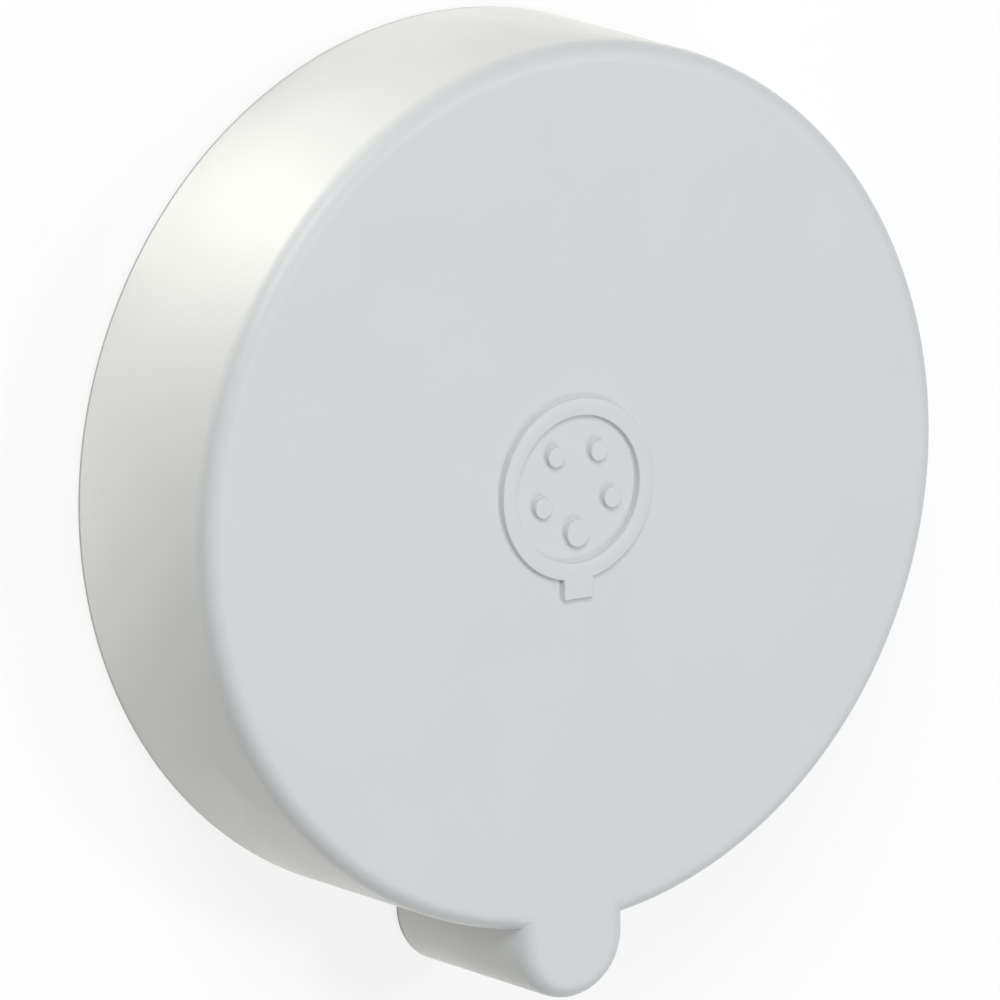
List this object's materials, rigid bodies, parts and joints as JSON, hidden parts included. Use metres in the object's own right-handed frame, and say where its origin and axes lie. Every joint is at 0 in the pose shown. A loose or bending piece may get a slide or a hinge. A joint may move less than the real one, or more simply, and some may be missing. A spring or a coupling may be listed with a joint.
{
  "type": "plug protective cap",
  "caption": "Push-on protective cap for a round power plug collar: flat round face, short skirt with a rounded edge, and a key lug at the rim.",
  "frame": {"origin": "middle of the mouth, on the plane that the rim rests on; the cap stands mouth down with its face up", "axes": "+Z from the mouth to the face along the cap's axis, -Y towards the key lug, +X to the right when the lug is nearest"},
  "size_m": [0.0666, 0.0721, 0.0164],
  "materials": {
    "cap_plastic": "light grey moulded plastic, fine satin grain"
  },
  "bodies": {
    "root": {"cap": "cap_plastic"}
  },
  "joints": []
}
